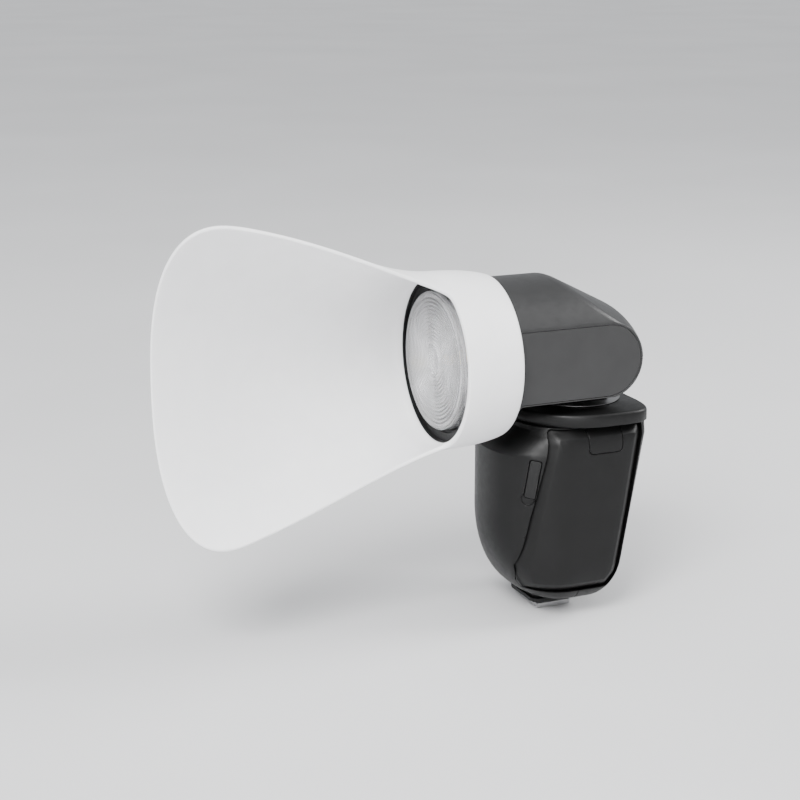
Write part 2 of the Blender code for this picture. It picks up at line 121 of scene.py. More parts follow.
BATTERY_OUTLINE = (BATTERY_REAR + BATTERY_FRONT)[::-1]
BATTERY_X = 14.5
EDGE_ROLL = 4.6  # how far in from its outline the battery's face starts to roll off
EDGE_DROP = 2.4
CASE_CORNER = 2.6
LATCH = (13.2, 90.8)
LATCH_HALF = (9.0, 6.6)
PORT_ANGLE = radians(-36)
PORT_HALF = (2.7, 9.3)
PANEL_Z = 60.0
PANEL_SIZE = (45.0, 64.0)
DISPLAY = (0, 15.5)
DISPLAY_HALF = (19.0, 13.0)
DIAL = (0, -17.5)
DIAL_R = 10.5
BUTTON_DEPTH = -2.0
BUTTON_R = 2.9
BUTTONS = {
    "menu_button": (-17.0, -4.6),
    "mode_button": (17.0, -4.6),
    "test_button": (-17.5, -26.5),
    "power_button": (17.5, -26.5),
}

# The view, with its places in metres.
VIEW_AZIMUTH = radians(66.83)
VIEW_ELEVATION = radians(14.84)
VIEW_PLACE = (0.7524, -0.4012, 0.3285)
VIEW_LENS = 81.0
FLOOR_REACH = 15.0
FLOOR_Z = -0.0005
LIGHT_AIM = (0, -0.05, 0.11)
SKY_COLOUR = (0.9, 0.92, 0.95, 1)


# ---- Materials ----


def noise(tree, scale, detail=3.0, stretch=(1, 1, 1)):
    """A noise texture over the piece's own coordinates, in metres."""
    nodes, links = tree.nodes, tree.links
    where = nodes.new("ShaderNodeTexCoord")
    mapping = nodes.new("ShaderNodeMapping")
    mapping.inputs["Scale"].default_value = stretch
    texture = nodes.new("ShaderNodeTexNoise")
    texture.inputs["Scale"].default_value = scale
    texture.inputs["Detail"].default_value = detail
    links.new(where.outputs["Object"], mapping.inputs["Vector"])
    links.new(mapping.outputs["Vector"], texture.inputs["Vector"])
    return texture.outputs["Fac"]


def ramp(tree, factor, low, high, start=0.3, end=0.7):
    made = tree.nodes.new("ShaderNodeValToRGB")
    made.color_ramp.elements[0].position = start
    made.color_ramp.elements[1].position = end
    made.color_ramp.elements[0].color = (*low, 1)
    made.color_ramp.elements[1].color = (*high, 1)
    tree.links.new(factor, made.inputs["Fac"])
    return made.outputs["Color"]


def surface(name, dark, light, rough, grain, depth, metal=0.0, mottle=90.0, stretch=(1, 1, 1), **sockets):
    """A Principled surface: mottled between two colours, roughness varied, and grained by a bump.

    rough is the roughness's range, grain the grain's size and depth its height, both in metres.
    """
    made = bpy.data.materials.new(name)
    made.use_nodes = True
    tree = made.node_tree
    shader = tree.nodes["Principled BSDF"]
    shader.inputs["Metallic"].default_value = metal
    for socket, value in sockets.items():
        shader.inputs[socket.replace("_", " ")].default_value = value
    patches = noise(tree, mottle)
    tree.links.new(ramp(tree, patches, dark, light), shader.inputs["Base Color"])
    wear = noise(tree, mottle * 4)
    tree.links.new(ramp(tree, wear, (rough[0],) * 3, (rough[1],) * 3), shader.inputs["Roughness"])
    bump = tree.nodes.new("ShaderNodeBump")
    bump.inputs["Distance"].default_value = depth
    bump.inputs["Strength"].default_value = 0.55
    tree.links.new(noise(tree, 1 / grain, 4.0, stretch), bump.inputs["Height"])
    tree.links.new(bump.outputs["Normal"], shader.inputs["Normal"])
    return made


def grey(value):
    return (value, value, value * 1.01)


def materials():
    dull, matt = (0.5, 0.6), (0.40, 0.47)
    return {
        "silicone": surface(
            "white_silicone", grey(0.88), grey(0.91), (0.46, 0.56), 0.0011, 0.00004,
            Subsurface_Weight=0.25, Subsurface_Radius=(0.006, 0.006, 0.006), Subsurface_Scale=0.6,
        ),
        "head": surface("head_satin", grey(0.016), grey(0.020), (0.36, 0.42), 0.00045, 0.00003),
        "body": surface(
            "body_matt", grey(0.0028), grey(0.0038), matt, 0.00045, 0.00004, Specular_IOR_Level=0.25
        ),
        "black": surface(
            "black_matt", grey(0.003), grey(0.005), dull, 0.0004, 0.00003, Specular_IOR_Level=0.25
        ),
        "panel": surface("panel_semigloss", grey(0.007), grey(0.010), (0.2, 0.28), 0.0009, 0.00001),
        "rubber": surface(
            "grip_rubber", grey(0.005), grey(0.008), (0.55, 0.65), 0.0005, 0.00005, Specular_IOR_Level=0.3
        ),
        "button": surface("button_matt", grey(0.016), grey(0.022), matt, 0.0005, 0.00003),
        "mark": surface("icon_print", grey(0.5), grey(0.6), matt, 0.0004, 0.00001),
        "steel": surface(
            "turned_steel", grey(0.26), grey(0.32), (0.36, 0.44), 0.0008, 0.000004, 1.0, stretch=(1, 1, 30)
        ),
        "foot": surface(
            "foot_alloy", grey(0.42), grey(0.52), (0.3, 0.4), 0.0006, 0.00002, 1.0, stretch=(1, 20, 1)
        ),
        "gold": surface(
            "gold_plate", (0.75, 0.52, 0.2), (0.9, 0.66, 0.3), (0.2, 0.3), 0.0006, 0.00001, 1.0
        ),
        "board": surface(
            "board_lacquer", (0.01, 0.07, 0.03), (0.02, 0.11, 0.05), (0.25, 0.4), 0.0015, 0.00005
        ),
        "sleeve": surface("capacitor_sleeve", grey(0.012), grey(0.018), (0.2, 0.3), 0.002, 0.00002),
        "mirror": surface("reflector_mirror", grey(0.82), grey(0.9), (0.1, 0.2), 0.0025, 0.00006, 1.0),
        "phosphor": surface(
            "light_phosphor", (0.75, 0.6, 0.15), (0.85, 0.7, 0.2), matt, 0.0004, 0.00003
        ),
        "lens": surface(
            "lens_glass", grey(0.86), grey(0.93), (0.04, 0.08), 0.0028, 0.00012,
            Transmission_Weight=0.82, IOR=1.49,
        ),
        "tube": surface(
            "tube_glass", grey(0.9), grey(0.95), (0.02, 0.05), 0.003, 0.00001,
            Transmission_Weight=0.9, IOR=1.46,
        ),
        "display": surface(
            "display_glass", (0.004, 0.005, 0.006), (0.006, 0.007, 0.008), (0.05, 0.09), 0.004, 0.000004,
            Coat_Weight=0.6, Coat_Roughness=0.03,
        ),
    }


# ---- Shape tools ----


def span(work, low, high):
    """Faces between two loops of points, either of which may be a single pole."""
    count = max(len(low), len(high))
    if count == 1:
        return
    for i in range(count):
        j = (i + 1) % count
        corners = [low[i % len(low)], low[j % len(low)], high[j % len(high)], high[i % len(high)]]
        work.faces.new(list(dict.fromkeys(corners)))


def add(name, work, shade, place):
    bmesh.ops.scale(work, vec=(MM, MM, MM), verts=work.verts)
    bmesh.ops.recalc_face_normals(work, faces=work.faces)
    mesh = bpy.data.meshes.new(name)
    work.to_mesh(mesh)
    work.free()
    mesh.transform(Matrix.Translation(place.translation * MM) @ place.to_3x3().to_4x4())
    mesh.shade_smooth()
    mesh.set_sharp_from_angle(angle=radians(35))
    if shade:
        mesh.materials.append(shade)
    obj = bpy.data.objects.new(name, mesh)
    bpy.context.scene.collection.objects.link(obj)
    return obj


def loft(name, rings, shade, place=Matrix(), closed=False):
    work = bmesh.new()
    loops = [[work.verts.new(point) for point in ring] for ring in rings]
    for low, high in zip(loops, loops[1:]):
        span(work, low, high)
    if closed:
        span(work, loops[-1], loops[0])
    else:
        work.faces.new(loops[0])
        work.faces.new(loops[-1])
    return add(name, work, shade, place)


def spun(profile, angle):
    """A profile of (radius, height) points, turned about local Z by an angle."""
    return [(radius * cos(angle), radius * sin(angle), height) for radius, height in profile]


def turned(name, outline, shade, place, steps=128):
    """A closed profile of (radius, height) points, turned all the way about local Z."""
    work = bmesh.new()
    loops = []
    for radius, height in outline:
        angles = [2 * pi * i / steps for i in range(steps)] if radius else [0]
        loops.append([work.verts.new(spun([(radius, height)], angle)[0]) for angle in angles])
    for low, high in zip(loops, loops[1:] + loops[:1]):
        span(work, low, high)
    return add(name, work, shade, place)


def disc(name, radius, low, high, shade, place, steps=48):
    return turned(name, [(0, low), (radius, low), (radius, high), (0, high)], shade, place, steps)


def prism(name, outline, low, high, shade, place=Matrix()):
    return loft(name, [[(u, v, w) for u, v in outline] for w in (low, high)], shade, place)


def box(name, low, high, shade, place=Matrix()):
    outline = [(low[0], low[1]), (high[0], low[1]), (high[0], high[1]), (low[0], high[1])]
    return prism(name, outline, low[2], high[2], shade, place)


def rounded(half_u, half_v, corner, middle=(0, 0), steps=8):
    points = []
    for quarter, (su, sv) in enumerate(((1, 1), (-1, 1), (-1, -1), (1, -1))):
        for i in range(steps + 1):
            angle = pi / 2 * (quarter + i / steps)
            u = middle[0] + su * (half_u - corner) + corner * cos(angle)
            v = middle[1] + sv * (half_v - corner) + corner * sin(angle)
            points.append((u, v))
    return points


def grown(outline, amount):
    """A convex outline moved outwards along its corners' bisectors."""
    count = len(outline)
    points = []
    for i in range(count):
        here = Vector(outline[i])
        before = (here - Vector(outline[i - 1])).normalized()
        after = (Vector(outline[(i + 1) % count]) - here).normalized()
        normal = Vector((before.y + after.y, -before.x - after.x)).normalized()
        share = normal.dot(Vector((before.y, -before.x)))
        points.append(tuple(here + normal * amount / share))
    return points


def cornered(outline, radius, steps=6):
    """A convex outline with each of its corners rounded."""
    points = []
    count = len(outline)
    for i in range(count):
        here = Vector(outline[i])
        before = (Vector(outline[i - 1]) - here).normalized()
        after = (Vector(outline[(i + 1) % count]) - here).normalized()
        reach = radius / tan(max(before.angle(after), 0.2) / 2)
        start, end = here + before * reach, here + after * reach
        for step in range(steps + 1):
            t = step / steps
            points.append(tuple(start * (1 - t) ** 2 + here * 2 * t * (1 - t) + end * t**2))
    return points


def cut(target, *cutters, operation="DIFFERENCE"):
    """Cuts target with each cutter, keeping target's own material."""
    for cutter in cutters:
        modifier = target.modifiers.new("cut", "BOOLEAN")
        modifier.operation = operation
        modifier.object = cutter
    settle(target)


def settle(obj):
    """Makes the modifiers' result the piece's own mesh."""
    graph = bpy.context.evaluated_depsgraph_get()
    mesh = bpy.data.meshes.new_from_object(obj.evaluated_get(graph))
    obj.modifiers.clear()
    shade = obj.data.materials[0] if obj.data.materials else None
    obj.data = mesh
    mesh.materials.clear()
    if shade:
        mesh.materials.append(shade)


def soften(obj, width, segments=2):
    """Rounds the piece's edges, as a mould does."""
    weld = obj.modifiers.new("weld", "WELD")
    weld.merge_threshold = 0.00006
    bevel = obj.modifiers.new("bevel", "BEVEL")
    bevel.width = width * MM
    bevel.segments = segments
    bevel.limit_method = "ANGLE"
    bevel.angle_limit = radians(38)
    bevel.use_clamp_overlap = False
    settle(obj)
    obj.data.shade_smooth()
    obj.data.set_sharp_from_angle(angle=radians(50))
    even = obj.modifiers.new("even", "WEIGHTED_NORMAL")
    even.keep_sharp = True
    settle(obj)
    return obj


def discard(*objects):
    for obj in objects:
        bpy.data.objects.remove(obj)


def at(x, y, z):
    return Matrix.Translation((x, y, z))


def stands_for(obj, body, slot, *nodes):
    """The piece rides on a body and stands for CAD nodes, which it hides; slot is not used."""
    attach(obj, body)
    if nodes:
        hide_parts(*nodes)
    return obj


HEAD = at(0, FRONT_Y, AXIS_Z) @ Matrix.Rotation(-pi / 2, 4, "X")
SIDE = Matrix(((0, 0, 1, 0), (1, 0, 0, 0), (0, 1, 0, 0), (0, 0, 0, 1)))
TILT = at(0, TILT_Y, AXIS_Z) @ SIDE
SWIVEL = at(0, TILT_Y, 0)
PORT_LEAN = Matrix.Rotation(radians(-9), 4, "Z")
PORT = at(27.9, -22.7, 73.2) @ Matrix.Rotation(PORT_ANGLE, 4, "Z") @ SIDE @ PORT_LEAN


def rear_y(z):
    return BODY_REAR - (BODY_TOP - z) * tan(REAR_SLANT)


PANEL = at(0, rear_y(PANEL_Z), PANEL_Z) @ Matrix(
    (
        (-1, 0, 0, 0),
        (0, sin(REAR_SLANT), cos(REAR_SLANT), 0),
        (0, cos(REAR_SLANT), -sin(REAR_SLANT), 0),
        (0, 0, 0, 1),
    )
)


# ---- The snoot ----


def scoop_section(s):
    """Radius of the wall's arc, and the x of its centre, at s ahead of the lens's front."""
    share = s / SCOOP_LENGTH
    radius = SCOOP_R + (SCOOP_TIP_R - SCOOP_R) * share**1.63
    depth = SCOOP_R - (SCOOP_R - SCOOP_TIP_X) * share**1.6
    return radius, radius - depth


def scoop_half_angle(s):
    flank = SCOOP_OPEN * exp(-s / SCOOP_DECAY)
    if s <= CORNER_START:
        return flank
    share = (s - CORNER_START) / (SCOOP_LENGTH - CORNER_START)
    return asin(sin(flank) * max(0.0, 1 - share**CORNER_POWER) ** (1 / CORNER_POWER))


def scoop_reach(angle):
    low, high = 0.0, SCOOP_LENGTH
    for _ in range(40):
        middle = (low + high) / 2
        if scoop_half_angle(middle) > angle:
            low = middle
        else:
            high = middle
    past = low if angle < SCOOP_OPEN else -SCOOP_DECAY * log(angle / SCOOP_OPEN)
    return LIP + (past - LIP + sqrt((past - LIP) ** 2 + 9)) / 2


def scoop_point(s, angle, inset):
    radius, centre = scoop_section(s)
    radius -= inset
    return Vector((centre - radius * cos(angle), radius * sin(angle), -s))


def scoop_wall(s):
    return SCOOP_WALL + (LIP_WALL - SCOOP_WALL) * exp(-s / 3)


def snoot_shell(shade, columns=240, rows=56):
    rings = []
    for column in range(columns):
        angle = pi * (2 * column / columns - 1)
        reach = min(scoop_reach(abs(angle)), SCOOP_LENGTH)
        wall = scoop_wall(reach)
        stop = reach - min(0.45 * wall, 0.6 * reach)
        steps = [stop * row / rows for row in range(rows + 1)]
        outer = [scoop_point(s, angle, 0) for s in steps]
        inner = [scoop_point(s, angle, scoop_wall(s)) for s in steps]
        half = (outer[-1] - inner[-1]) / 2
        ahead = scoop_point(reach, angle, wall / 2) - (outer[-1] + inner[-1]) / 2
        edge = []
        for i in range(1, 6):
            turn = pi * i / 6
            edge.append(outer[-1] - half + half * cos(turn) + ahead * sin(turn))
        loop = [Vector((-r * cos(angle), r * sin(angle), y)) for y, r in COLLAR_OUTER]
        loop += outer + edge + inner[::-1]
        loop += [Vector((-r * cos(angle), r * sin(angle), y)) for y, r in COLLAR_INNER]
        rings.append(loop)
    return loft("snoot_scoop", rings, shade, HEAD, closed=True)


def snoot(look):
    shell = snoot_shell(look["silicone"])
    shell.data.set_sharp_from_angle(angle=radians(70))
    stands_for(shell, "snoot", "white_silicone", "snoot_shell")
    ring = [(37.8, 13), (39.8, 13), (40.0, 12.8), (40.0, 1.3), (39.8, 1.1), (38.8, 1.1), (38.6, 1.3)]
    ring += [(38.6, 3.0), (38.3, 3.4), (34.8, 3.4), (34.4, 3.8), (34.4, 4.4), (34.6, 4.6), (37.8, 4.6)]
    made = turned("snoot_ring", ring, look["black"], HEAD)
    stands_for(made, "mount_ring", "black_plastic", "snoot_mount_ring")


# ---- The head ----


def head_slice(x, inset, front):
    half = sqrt((BARREL_R - inset) ** 2 - x**2)
    rear = REAR_R - (REAR_R - REAR_SIDE_R) * (x / CHEEK_X) ** 2 - inset
    floor = CHEEK_HALF - inset
    roof_end = (rear / cos(ROOF_SLOPE) - half) / tan(ROOF_SLOPE)
    points = [(front - TILT_Y, half)]
    first, last, steps = pi / 2 - ROOF_SLOPE, -asin(min(1, floor / rear)), 28
    bend = min(3.5, 0.8 * (rear * cos(first) - roof_end))
    for i in range(7):
        t = i / 6
        points.append((roof_end + bend * (2 * t - 1), half - bend * tan(ROOF_SLOPE) * t**2))
    for i in range(steps + 1):
        angle = first + (last - first) * i / steps
        points.append((rear * cos(angle), rear * sin(angle)))
    points[-1] = (points[-1][0], -floor)
    points.append((CHIN_Y[1] + inset - TILT_Y, -floor))
    points.append((CHIN_Y[0] + inset - TILT_Y, -half))
    points.append((front - TILT_Y, -half))
    return points


def head_form(name, inset, side, front, shade, slices=56):
    widest = asin(side / (BARREL_R - inset))
    rings = []
    for i in range(slices + 1):
        x = (BARREL_R - inset) * sin(widest * (2 * i / slices - 1))
        rings.append([(y, z, x) for y, z in head_slice(x, inset, front)])
    return loft(name, rings, shade, TILT)


def side_outline(grow):
    half = CHEEK_HALF - SIDE_MARGIN + grow
    front = HEAD_SHELL_Y - TILT_Y + SIDE_MARGIN - grow
    points = [(front, -half), (0, -half)]
    points += [(half * sin(pi * i / 40), -half * cos(pi * i / 40)) for i in range(1, 40)]
    return points + [(0, half), (front, half)]


def head_covers(look):
    cavity = head_form("cavity", HEAD_WALL, CHEEK_X - 3.6, HEAD_SHELL_Y - 5, None)
    half_slot = DRUM_HALF + DRUM_GAP
    slot = disc("slot", DRUM_R + 0.45, -half_slot, half_slot, None, TILT, 96)
    reach = STEM_HALF + 0.5
    way = [(-reach, -FAR), (FAR, -FAR), (FAR, reach), (-reach, reach)]
    sweep = prism("sweep", way, -half_slot, half_slot, None, TILT)
    floor = CHEEK_X - CHEEK_DEPTH - GAP
    pockets = [
        prism("pocket", side_outline(0), low, high, None, TILT)
        for low, high in ((floor, FAR), (-FAR, -floor))
    ]
    above = box("above", (-FAR, -FAR, AXIS_Z - HALF_SEAM), (FAR, FAR, AXIS_Z + FAR), None)
    below = box("below", (-FAR, -FAR, AXIS_Z - FAR), (FAR, FAR, AXIS_Z + HALF_SEAM), None)
    for name, half in (("head_top_cover", below), ("head_bottom_cover", above)):
        cover = head_form(name + "_skin", 0, CHEEK_X, HEAD_SHELL_Y, look["head"])
        cut(cover, cavity, slot, sweep, half, *pockets)
        soften(cover, 0.12, 1)
        stands_for(cover, "head", "head_plastic", name)
    for side, name in ((1, "left"), (-1, "right")):
        low, high = sorted((side * (CHEEK_X - CHEEK_DEPTH), side * CHEEK_X))
        plate = prism(f"head_side_{name}", side_outline(-0.12), low, high, look["head"], TILT)
        soften(plate, 0.35, 3)
        stands_for(plate, "head", "head_plastic", f"head_side_cover_{name}")
    discard(cavity, slot, sweep, above, below, *pockets)


def lens_front(look):
    """A pressed glass lens: steps whose slopes steepen outwards, in a skirt."""
    radius, crest = 6.4, -0.35
    outline = [(0, -0.6), (3.6, -0.55), (radius, crest)]
    while radius + LENS_PITCH < LENS_RIDGES_R:
        slope = 0.5 + 0.6 * radius / LENS_RIDGES_R
        outline += [(radius + 0.15, crest + slope), (radius + LENS_PITCH * 0.55, -0.2)]
        outline += [(radius + LENS_PITCH, crest)]
        radius += LENS_PITCH
    outline += [(32.05, -0.3), (32.15, 0.5), (32.4, 0.5), (32.5, -0.2), (32.9, 0.2)]
    outline += [(32.9, 9.6), (31.2, 9.6), (31.2, 2.6), (0, 2.6)]
    lens = turned("lens_pressed", outline, look["lens"], HEAD, 160)
    stands_for(lens, "head", "lens_glass", "fresnel_lens")


def zoom_grip(look, ribs=90):
    """The zoom ring's ribbed sleeve."""
    steps = ribs * 4
    rings = []
    for i in range(steps):
        angle = 2 * pi * i / steps
        crest = ZOOM_R - (0.0, 0.45, 0.6, 0.45)[i % 4]
        edge = ZOOM_R - 0.6
        profile = [(ZOOM_BORE_R, 10.3), (edge, 10.3), (crest, 10.9)]
        profile += [(crest, 23.1), (edge, 23.7), (ZOOM_BORE_R, 23.7)]
        rings.append(spun(profile, angle))
    sleeve = loft("zoom_grip", rings, look["rubber"], HEAD, closed=True)
    stands_for(sleeve, "zoom_ring", "grip_rubber", "zoom_ring")


def head_front(look):
    bezel = [(33.2, 5.8), (33.8, 5.2), (34.6, 5.0), (36.9, 5.0), (37.3, 5.2), (37.5, 5.6)]
    bezel += [(37.5, 10), (33.2, 10)]
    stands_for(turned("bezel", bezel, look["black"], HEAD), "head", "black_plastic", "front_bezel")
    bowl = [(11.0 + 16 * (1 - (i / 14) ** 2), 11.5 + 11.5 * i / 14) for i in range(15)]
    back = [(radius + 1.2, height + 0.4) for radius, height in bowl[::-1]]
    made = turned("reflector_bowl", bowl + back, look["mirror"], HEAD)
    stands_for(made, "zoom_carriage", "reflector_metal", "reflector")
    tube = [(8.4 + 1.9 * cos(pi * i / 8), 17.4 + 1.9 * sin(pi * i / 8)) for i in range(16)]
    made = turned("flash_tube_ring", tube, look["tube"], HEAD, 72)
    stands_for(made, "zoom_carriage", "tube_glass", "flash_tube")


def neck(look):
    yoke = disc("neck", DRUM_R, -DRUM_HALF, DRUM_HALF, look["black"], TILT, 128)
    stem = prism("stem", rounded(DRUM_HALF - 0.6, STEM_HALF, 3), 105.1, AXIS_Z - 6, None, SWIVEL)
    shaft = disc("shaft", 9, 88, 108, None, SWIVEL, 64)
    cut(yoke, stem, shaft, operation="UNION")
    bore = disc("bore", 4.3, -20, 20, None, TILT, 32)
    way = disc("way", 5, 80, 118, None, SWIVEL, 32)
    cut(yoke, bore, way)
    soften(yoke, 0.5, 3)
    discard(stem, shaft, bore, way)
    stands_for(yoke, "neck", "black_plastic", "neck_yoke")
    low, high = PLATE_TOP + GAP, PLATE_TOP + GAP + 0.5
    ring = [(SHAFT_HOLE_R, low), (21.8, low), (22, low + 0.1)]
    ring += [(22, high - 0.1), (21.8, high), (SHAFT_HOLE_R, high)]
    made = turned("swivel_plate", ring, look["steel"], SWIVEL)
    stands_for(made, "neck", "bearing_steel", "swivel_disc")


# ---- The body ----


def oval(half, ends, middle, powers, count):
    """A plan that is widest at middle; ends and powers are those of its front and its rear."""
    points = []
    for i in range(count):
        c, s = cos(2 * pi * i / count), sin(2 * pi * i / count)
        power = 2 / (powers[0] if s < 0 else powers[1])
        depth = middle - ends[0] if s < 0 else ends[1] - middle
        x = half * abs(c) ** power * (1 if c > 0 else -1)
        points.append((x, middle + depth * abs(s) ** power * (1 if s > 0 else -1)))
    return points


def body_section(z):
    """The front's y, half the width and the rear's y at height z."""
    z = min(max(z, BODY_BOTTOM), BODY_TOP)
    front, half, rear = BODY_FRONT, BODY_HALF, rear_y(z)
    if z < KEEL_TOP:
        share = (KEEL_TOP - z) / (KEEL_TOP - BODY_BOTTOM)
        swell = (1 - share**KEEL_POWER) ** (1 / KEEL_POWER)
        front = KEEL_FRONT + (BODY_FRONT - KEEL_FRONT) * swell
    if z > SHOULDER_Z:
        front += SHOULDER_BACK * min(1, (z - SHOULDER_Z) / 11)
    if z < FOOT_ROUND_TOP:
        share = (FOOT_ROUND_TOP - z) / (FOOT_ROUND_TOP - BODY_BOTTOM)
        drawn_in = FOOT_ROUND * (1 - sqrt(1 - share**2))
        half -= drawn_in
        rear -= drawn_in
    if z > TAPER_Z:
        half -= TAPER * (z - TAPER_Z) / (BODY_TOP - TAPER_Z)
    return front, half, rear


def body_side(y, z):
    """How far the body's surface stands from the middle at (y, z)."""
    front, half, rear = body_section(z)
    share, power = (y / front, FRONT_POWER) if y < 0 else (y / rear, REAR_POWER)
    return half * (1 - min(share, 0.999) ** power) ** (1 / power)


def body_ring(z, inset):
    front, half, rear = body_section(z)
    ends = (front + inset, rear - inset)
    outline = oval(half - inset, ends, BODY_WIDEST_Y, (FRONT_POWER, REAR_POWER), 200)
    return [(x, y, z) for x, y in outline]


def body_form(name, inset, shade):
    low, high = BODY_BOTTOM + inset, BODY_TOP - inset
    between = [z for z in BODY_LEVELS if low + 0.2 < z < high - 0.4]
    return loft(name, [body_ring(z, inset) for z in [low, *between, high]], shade)


def body_shells(look):
    cavity = body_form("cavity", BODY_WALL, None)
    behind = box("behind", (-FAR, SPLIT_Y - HALF_SEAM, -FAR), (FAR, FAR, 2 * FAR), None)
    before = box("before", (-FAR, -FAR, -FAR), (FAR, SPLIT_Y + HALF_SEAM, 2 * FAR), None)
    bay = prism("bay", cornered(BATTERY_OUTLINE, 2.2), BATTERY_X, FAR, None, SIDE)
    hole = disc("hole", 13.6, 90, 120, None, SWIVEL)
    port = prism("port", rounded(PORT_HALF[0] + GAP, PORT_HALF[1] + GAP, 1.0), -3, FAR, None, PORT)
    notch = disc("notch", 3.2, -1.3, FAR, None, PORT @ at(-0.8, -9.9, 0))
    opening = rounded(PANEL_SIZE[0] / 2 + 0.15, PANEL_SIZE[1] / 2 + 0.15, 3.8)
    window = prism("window", opening, -8, 9, None, PANEL)
    front = body_form("body_front", 0, look["body"])
    cut(front, cavity, behind, bay, port, hole, notch)
    rear = body_form("body_rear", 0, look["body"])
    cut(rear, cavity, before, bay, window, hole)
    for shell, node in ((front, "body_front_shell"), (rear, "body_rear_shell")):
        soften(shell, 0.3)
        stands_for(shell, "body", "body_plastic", node)
    discard(cavity, behind, before, bay, hole, port, notch, window)


def sampled(outline, count):
    """Points spread evenly along an outline, its own corners left out."""
    loop = [Vector(p) for p in outline] + [Vector(outline[0])]
    lengths = [(b - a).length for a, b in zip(loop, loop[1:])]
    points, edge, start = [], 0, 0.0
    for i in range(count):
        along = sum(lengths) * i / count
        while along > start + lengths[edge]:
            start += lengths[edge]
            edge += 1
        points.append(loop[edge].lerp(loop[edge + 1], (along - start) / lengths[edge]))
    return points


def battery_form(name, shade, count=168):
    """The battery's case: the body's own surface, rolled off towards the outline."""
    back = sampled(cornered(grown(BATTERY_OUTLINE, -GAP), CASE_CORNER), count)
    rings = [[(y, z, BATTERY_X + GAP) for y, z in back]]
    insets = [EDGE_ROLL * i / 9 for i in range(10)]
    for inset in insets:
        corner = max(CASE_CORNER - inset, 0.4)
        ring = sampled(cornered(grown(BATTERY_OUTLINE, -GAP - inset), corner), count)
        drop = EDGE_DROP * (1 - inset / EDGE_ROLL) ** 1.35
        rings.append([(y, z, max(body_side(y, z) - drop, BATTERY_X + 2)) for y, z in ring])
    middle = sum((Vector(point) for point in ring), Vector((0, 0))) / count
    for step in range(1, 12):
        shrunk = [point.lerp(middle, step / 12) for point in ring]
        rings.append([(y, z, body_side(y, z)) for y, z in shrunk])
    return loft(name, rings, shade, SIDE)


def battery(look):
    pack = battery_form("battery_case", look["body"])
    trim = body_form("trim", -0.12, None)
    cut(pack, trim, operation="INTERSECT")
    recess = rounded(LATCH_HALF[0] + 0.25, LATCH_HALF[1] + 0.25, 2.6, LATCH)
    pocket = prism("pocket", recess, 25.5, FAR, None, SIDE)
    cut(pack, pocket)
    soften(pack, 0.15, 1)
    stands_for(pack, "battery", "body_plastic", "battery_pack")
    latch = battery_form("latch_button", look["body"])
    key = prism("key", rounded(*LATCH_HALF, 2.4, LATCH), 28, FAR, None, SIDE)
    cut(latch, key, operation="INTERSECT")
    soften(latch, 0.3, 2)
    stands_for(latch, "battery_latch", "body_plastic", "battery_latch")
    discard(pocket, key, trim)


def port_cover(look):
    cover = body_form("port_flap", 0, look["rubber"])
    shape = prism("shape", rounded(*PORT_HALF, 0.8), -1.6, FAR, None, PORT)
    cut(cover, shape, operation="INTERSECT")
    soften(cover, 0.3)
    stands_for(cover, "port_cover", "port_rubber", "port_cover")
    discard(shape)


def top_plate(look):
    levels = []
    for z, inset in PLATE_RIM:
        ends = (PLATE_Y[0] + inset, PLATE_Y[1] - inset)
        outline = oval(PLATE_HALF - inset, ends, TILT_Y, PLATE_POWERS, 128)
        levels.append([(x, y, z) for x, y in outline])
    plate = loft("top_deck", levels, look["body"])
    bore = disc("bore", SHAFT_HOLE_R, 90, 110, None, SWIVEL)
    cut(plate, bore)
    discard(bore)
    plate.data.shade_smooth()
    plate.data.set_sharp_from_angle(angle=radians(50))
    stands_for(plate, "body", "body_plastic", "top_plate")


# ---- The rear panel ----


